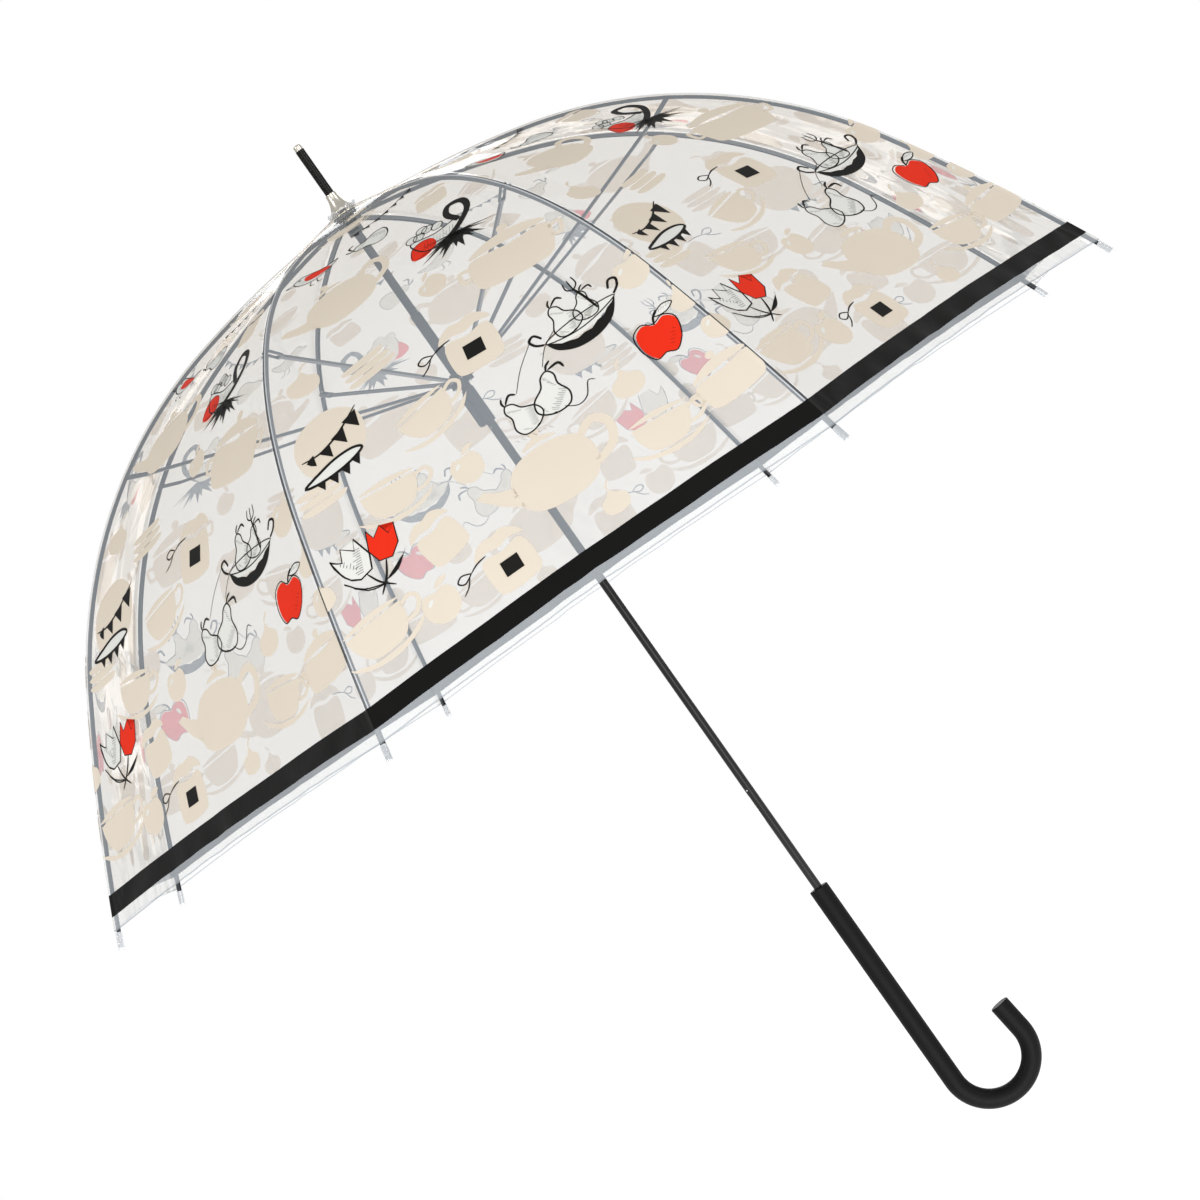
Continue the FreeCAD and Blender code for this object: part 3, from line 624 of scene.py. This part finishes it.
def garland():
    """A string of small black flags across the narrow top of the gore."""
    line = [(-25, 4), (-13, -1.5), (0, -3), (13, -1.5), (25, 4)]
    shapes = stroke("black", line, 1.0, thin=0.8)
    for k in range(7):
        x = -22 + k * 7.2
        y = -3 + 7 * (x / 25) ** 2
        shapes += [("black", [(x - 3, y), (x + 3, y), (x + 0.2, y - 5.6)])]
    return shapes


# (motif, y, s, size, tilt), y and s in millimetres on the gore as it would lie flat
PATTERN = (
    (onion, 6, 92, 0.9, 20), (cup, -6, 132, 0.9, -12), (garland, 22, 166, 1.15, 20),
    (pear_on_its_side, 4, 207, 1.1, 0), (bird, -44, 200, 1.45, -10), (plain_jar, 54, 208, 0.9, -8),
    (teapot, -36, 262, 1.1, 10), (round_fruit, 20, 314, 1.0, 30), (basket, 44, 266, 1.25, -4),
    (cooking_pot, 74, 334, 1.3, -10), (onion, -88, 322, 1.3, -14), (plates, -46, 344, 1.1, 8),
    (jar, 18, 382, 1.35, -4),
    (round_fruit, 128, 412, 1.2, 0), (cup, -32, 410, 1.1, 12), (cup, -80, 446, 1.1, -8),
    (onion, 146, 450, 1.2, 12), (plain_jar, -70, 494, 1.1, 10), (teapot, 14, 503, 1.22, -4),
    (round_fruit, -30, 464, 1.1, 0), (cup, 86, 522, 1.1, -6), (cooking_pot, 138, 518, 0.95, 6),
    (onion, 84, 480, 1.2, 0), (jar, -42, 537, 1.25, 2), (round_fruit, -92, 536, 1.25, 0),
    (cup, -134, 524, 1.2, 4), (onion, 34, 547, 1.0, 0), (onion, -156, 480, 1.2, 8),
    (round_fruit, 152, 482, 1.0, 0), (plates, -118, 416, 1.0, 0), (bunting, -94, 386, 1.35, 4),
    (pan, 83, 418, 1.12, 2), (pears_on_strings, 32, 450, 1.12, 0), (apple, 118, 466, 1.25, -8),
    (tulips, -112, 474, 1.3, -4),
)
BAND_GAP = 0.001           # no motif comes closer to the band than this, in metres
RIB_GAP = 0.0004           # or closer to a rib
CUT_REACH = 1e-6           # the rest are in steps of the grid: a corner this near a cut is on it
LEAST_AREA = 1e-7          # and a smaller scrap of ink is left out


def along_rows(s):
    """Row number, with its fraction, of distance s on the film's grid."""
    for i in range(len(ROWS) - 1):
        if s <= ROWS[i + 1]:
            return i + (s - ROWS[i]) / (ROWS[i + 1] - ROWS[i])
    return len(ROWS) - 1.0


def across_columns(y, s):
    """Column number of a point: 0 at the gore's middle, plus or minus COLUMNS - 1 at the ribs."""
    wide = columns(s)
    d = max(0.0, half_width(s) - abs(y))
    for j in range(COLUMNS - 1):
        if d <= wide[j + 1]:
            return math.copysign(COLUMNS - 1 - j - (d - wide[j]) / (wide[j + 1] - wide[j]), y)
    return 0.0


def cut_pattern():
    """Every motif of a gore, in grid numbers and cut along the grid: ink -> list of small polygons."""
    by_ink = {}
    for motif, y, s, size, tilt in PATTERN:
        for ink, ring in moved(motif(), y, -s, size, tilt):
            on_grid = []
            for a, b in ring:
                down = min(-b / 1000, BAND_S[0] - BAND_GAP)
                reach = half_width(down) - RIB_GAP
                on_grid.append((across_columns(max(-reach, min(reach, a / 1000)), down), along_rows(down)))
            by_ink.setdefault(ink, []).append(on_grid)
    result = {}
    for ink, rings in by_ink.items():
        bm = bmesh.new()
        for ring in rings:
            bm.faces.new([bm.verts.new((u, v, 0)) for u, v in ring])
        bmesh.ops.triangulate(bm, faces=bm.faces[:])
        cuts = [((u, 0, 0), (1, 0, 0)) for u in range(2 - COLUMNS, COLUMNS - 1)]
        cuts += [((0, v, 0), (0, 1, 0)) for v in range(1, len(ROWS) - 1)]
        for point, way in cuts:
            bmesh.ops.bisect_plane(bm, geom=bm.verts[:] + bm.edges[:] + bm.faces[:], dist=CUT_REACH,
                                   plane_co=point, plane_no=way)
        result[ink] = [[(v.co.x, v.co.y) for v in f.verts] for f in bm.faces if f.calc_area() > LEAST_AREA]
        bm.free()
    return result


CUT = cut_pattern()


def print_sheet(name, low, high, gore, side):
    """The ink on one piece of film. Each corner lies between the four nearest points of the film's grid."""
    grid = GRIDS[gore, side]
    rows = rows_between(low, high)
    points, normals, faces, indices, known = [], [], [], [], {}
    for number, ink in enumerate(INKS):
        for ring in CUT[ink]:
            middle_u = sum(u for u, v in ring) / len(ring)
            middle_v = sum(v for u, v in ring) / len(ring)
            if middle_u * side < 0 or not rows[0] <= middle_v <= rows[-1]:
                continue
            i, j = int(middle_v), int(COLUMNS - 1 - abs(middle_u))
            face = []
            for u, v in ring:
                key = (ink, round(u, 5), round(v, 5))
                if key not in known:
                    a, b = v - i, COLUMNS - 1 - abs(u) - j
                    mix = [(grid[i][j], (1 - a) * (1 - b)), (grid[i][j + 1], (1 - a) * b),
                           (grid[i + 1][j], a * (1 - b)), (grid[i + 1][j + 1], a * b)]
                    point = sum((corner[0] * share for corner, share in mix), Vector())
                    normal = sum((corner[1] * share for corner, share in mix), Vector()).normalized()
                    known[key] = len(points)
                    points.append(point + normal * LEVELS[ink])
                    normals.append(normal)
                if known[key] not in face:
                    face.append(known[key])
            if len(face) > 2:
                flat = (points[face[1]] - points[face[0]]).cross(points[face[2]] - points[face[0]])
                faces.append(face if flat.dot(normals[face[0]]) > 0 else face[::-1])
                indices.append(number)
    return new_piece(name, points, faces, normals, list(INKS.values()), indices)


# ---- the canopy's pieces ----------------------------------------------------------------------------------
def rib_vector(rib, x, z):
    """The point at radius x and height z in a rib's own plane."""
    angle = HALF_STEP + rib * STEP
    return Vector((x * math.cos(angle), x * math.sin(angle), z))


def gather(piece, low, high):
    """Gives the piece a mesh of its own."""
    ends = [rib_at(s, FILM_GAP) for s in (low, high)]
    middle = rib_at((low + high) / 2, FILM_GAP)
    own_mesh(piece)


def rosette():
    """The clear washer on the top of the film, with the ruffled edge that it has once it is clamped."""
    # radius and how much of the dish and the ruffle reaches it
    rings = ((0.0036, 0), (0.0065, 0), (0.0085, 0.4), (0.0102, 0.8), (0.0118, 1.0))
    bottom, thick, dish, ruffle = 0.69905, 0.0009, 0.0014, 0.0012
    folds, around = 11, 132
    profile = [(r, lift, 0) for r, lift in rings] + [(r, lift, 1) for r, lift in reversed(rings)]
    points, faces = [], []
    for k in range(around):
        angle = k * 2 * math.pi / around
        for r, lift, top in profile:
            wave = lift * ruffle * (math.sin(folds * angle) + 0.5 * math.sin(5 * angle + 1))
            reach = r * (1 + 0.04 * lift * math.sin(folds * angle + 0.8))
            points.append((reach * math.cos(angle), reach * math.sin(angle),
                           bottom + dish * lift + wave + thick * top))
    count = len(profile)
    for k in range(around):
        for j in range(count):
            a, b = k * count + j, k * count + (j + 1) % count
            c, d = (b + count) % (around * count), (a + count) % (around * count)
            faces.append([d, c, b, a])
    mesh = bpy.data.meshes.new("rosette")
    mesh.from_pydata(points, [], faces)
    mesh.materials.append(clear_plastic)
    for face in mesh.polygons:
        face.use_smooth = True
    return new_object("rosette", mesh)


ring = rosette()
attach(ring, "frame")
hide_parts("canopy_washer")

# Each rib has the halves of the two gores beside it, in one crown piece, two upper and two lower pieces; the
# upper and lower pieces and their prints are attached to the rib.
for rib in range(RIB_COUNT):
    n = rib + 1
    after = (rib + 1) % RIB_COUNT
    both = ((rib, 1), (after, -1))
    crown, area = film_sheet("film_crown_%d" % n, 0, CROWN_S, both)
    tuple(rib_vector(rib, film_line(CROWN_S)[0], NOTCH_Z))
    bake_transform(crown)
    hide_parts("canopy_panel_%d" % n, "canopy_panel_%d" % (after + 1))
    2 * half_width(CROWN_S)
    for letter, (gore, side) in zip("ab", both):
        for part, low, high in (("upper", CROWN_S, RIVET_S), ("lower", RIVET_S, HEM_S)):
            body = "rib_%s_%d" % (part, n)
            piece, area = film_sheet("film_%s_%d%s" % (part, n, letter), low, high, ((gore, side),))
            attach(piece, body)
            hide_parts("canopy_panel_%d" % (gore + 1))
            gather(piece, low, high)
            ink = print_sheet("print_%s_%d%s" % (part, n, letter), low, high, gore, side)
            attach(ink, body)
            gather(ink, low, high)
            half_width(high)

# ---- finishes of the CAD parts ----------------------------------------------------------------------------
soft_touch = material("soft-touch black", linear(6, 6, 6), 0.55, vary=0.2, grain=900, rough_vary=0.06,
                      bump=0.05, depth=0.0001, specular=0.15)
enamel = material("gloss black enamel", linear(6, 7, 6), 0.2, vary=0.2, grain=500, rough_vary=0.05, bump=0.05,
                  specular=0.6, stretch=(1, 1, 0.15))
coated_steel = material("grey coated steel", (0.085, 0.09, 0.1, 1), 0.24, metallic=0.6, vary=0.2, grain=700,
                        bump=0.08)
rib_steel = material("dark spring steel", (0.045, 0.05, 0.056, 1), 0.22, metallic=0.5, vary=0.25, grain=700,
                     bump=0.08)
nylon = material("black nylon", linear(30, 32, 34), 0.34, vary=0.2, grain=800, bump=0.1, specular=0.4)
spring = material("spring steel", (0.62, 0.62, 0.61, 1), 0.25, metallic=1.0, vary=0.06, grain=500, bump=0.05)
champagne = material("champagne metal", (0.80, 0.75, 0.66, 1), 0.27, metallic=1.0, vary=0.05, grain=300,
                     bump=0.08, stretch=(1, 1, 14))
gloss_black = material("gloss black plastic", linear(6, 6, 5), 0.18, vary=0.2, grain=900, bump=0.01,
                       rough_vary=0.04, specular=0.25)
# a finish and the nodes that it is on, by name without their numbers
FINISHES = (
    (soft_touch, ("handle",)), (enamel, ("shaft",)), (gloss_black, ("ferrule",)),
    (nylon, ("top_notch", "runner_sleeve", "runner_crown", "runner_collar")),
    (spring, ("notch_wire", "runner_wire", "upper_catch", "lower_catch", "catch_pins", "upper_stop")),
    (champagne, ("inner_washer", "crown_cap", "ferrule_tip")), (clear_plastic, ("rib_tip",)),
    (rib_steel, ("rib_upper", "rib_lower")), (coated_steel, ("stretcher",)),
)
for finish, names in FINISHES:
    for node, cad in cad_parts.items():
        if node in names or node.rstrip("12345678").rstrip("_") in names:
            for place in cad.material_slots:
                place.material = finish

# ---- camera and light -------------------------------------------------------------------------------------
CAMERA_X, CAMERA_Z, CAMERA_DISTANCE = -0.0096, 0.355, 2.547
ROLL = math.radians(35.14)             # the umbrella leans this far to the left
camera_data = bpy.data.cameras.new("camera")
camera_data.lens = 103.2
camera_data.sensor_width = 36
camera_data.clip_end = 100
camera = new_object("camera", camera_data)
right = Vector((math.cos(ROLL), 0, -math.sin(ROLL)))
up = Vector((math.sin(ROLL), 0, math.cos(ROLL)))
turn = Matrix((right, up, (0, -1, 0))).transposed().to_4x4()
camera.matrix_world = Matrix.Translation((CAMERA_X, -CAMERA_DISTANCE, CAMERA_Z)) @ turn
bpy.context.scene.camera = camera
bpy.context.scene.view_settings.view_transform = "Standard"


def soft_light(name, place, aim, size, power):
    """A rectangular light. Its size is in metres and its power in watts."""
    data = bpy.data.lights.new(name, "AREA")
    data.shape = "RECTANGLE"
    data.size, data.size_y = size
    data.energy = power
    light = new_object(name, data)
    light.location = place
    light.rotation_euler = (Vector(aim) - Vector(place)).to_track_quat("-Z", "Y").to_euler()
    light.visible_camera = False


soft_light("key strip", (-2.0, -1.6, 2.2), (0, 0, 0.5), (0.14, 2.2), 24)
soft_light("side strip", (2.4, -1.5, 1.4), (0, 0, 0.4), (0.16, 1.8), 14)
soft_light("front", (0.3, -3.4, 1.0), (0, 0, 0.45), (2.4, 2.4), 24)
soft_light("bounce", (-0.2, -1.7, -0.9), (0, 0.25, 0.5), (1.6, 1.2), 30)
soft_light("back", (0.5, 2.9, 0.9), (0, 0, 0.4), (1.6, 1.6), 24)

world = bpy.data.worlds.new("studio")
world.use_nodes = True
sky = world.node_tree.nodes["Background"]
sky.inputs["Color"].default_value = (1, 1, 1, 1)
ray = world.node_tree.nodes.new("ShaderNodeLightPath")
level = world.node_tree.nodes.new("ShaderNodeMapRange")
level.inputs["To Min"].default_value = 0.5           # the room's light on every surface
level.inputs["To Max"].default_value = 1.0           # the white backdrop
world.node_tree.links.new(ray.outputs["Is Camera Ray"], level.inputs["Value"])
world.node_tree.links.new(level.outputs["Result"], sky.inputs["Strength"])
bpy.context.scene.world = world

FLOOR_R, FLOOR_Z, FLOOR_SIDES = 14.0, -1.2, 64
turns = [2 * math.pi * k / FLOOR_SIDES for k in range(FLOOR_SIDES)]
rim = [(FLOOR_R * math.cos(angle), FLOOR_R * math.sin(angle), FLOOR_Z) for angle in turns]
floor_mesh = bpy.data.meshes.new("floor")
floor_mesh.from_pydata(rim, [], [list(range(FLOOR_SIDES))])
floor = new_object("floor", floor_mesh)
paper = material("floor paper", (0.93, 0.93, 0.93, 1), 0.9, vary=0.004, grain=3, bump=0.0, specular=0.0)
glow = next(n for n in paper.node_tree.nodes if n.type == "BSDF_PRINCIPLED")
glow.inputs["Emission Color"].default_value = (1, 1, 1, 1)
glow.inputs["Emission Strength"].default_value = 0.62
floor_mesh.materials.append(paper)
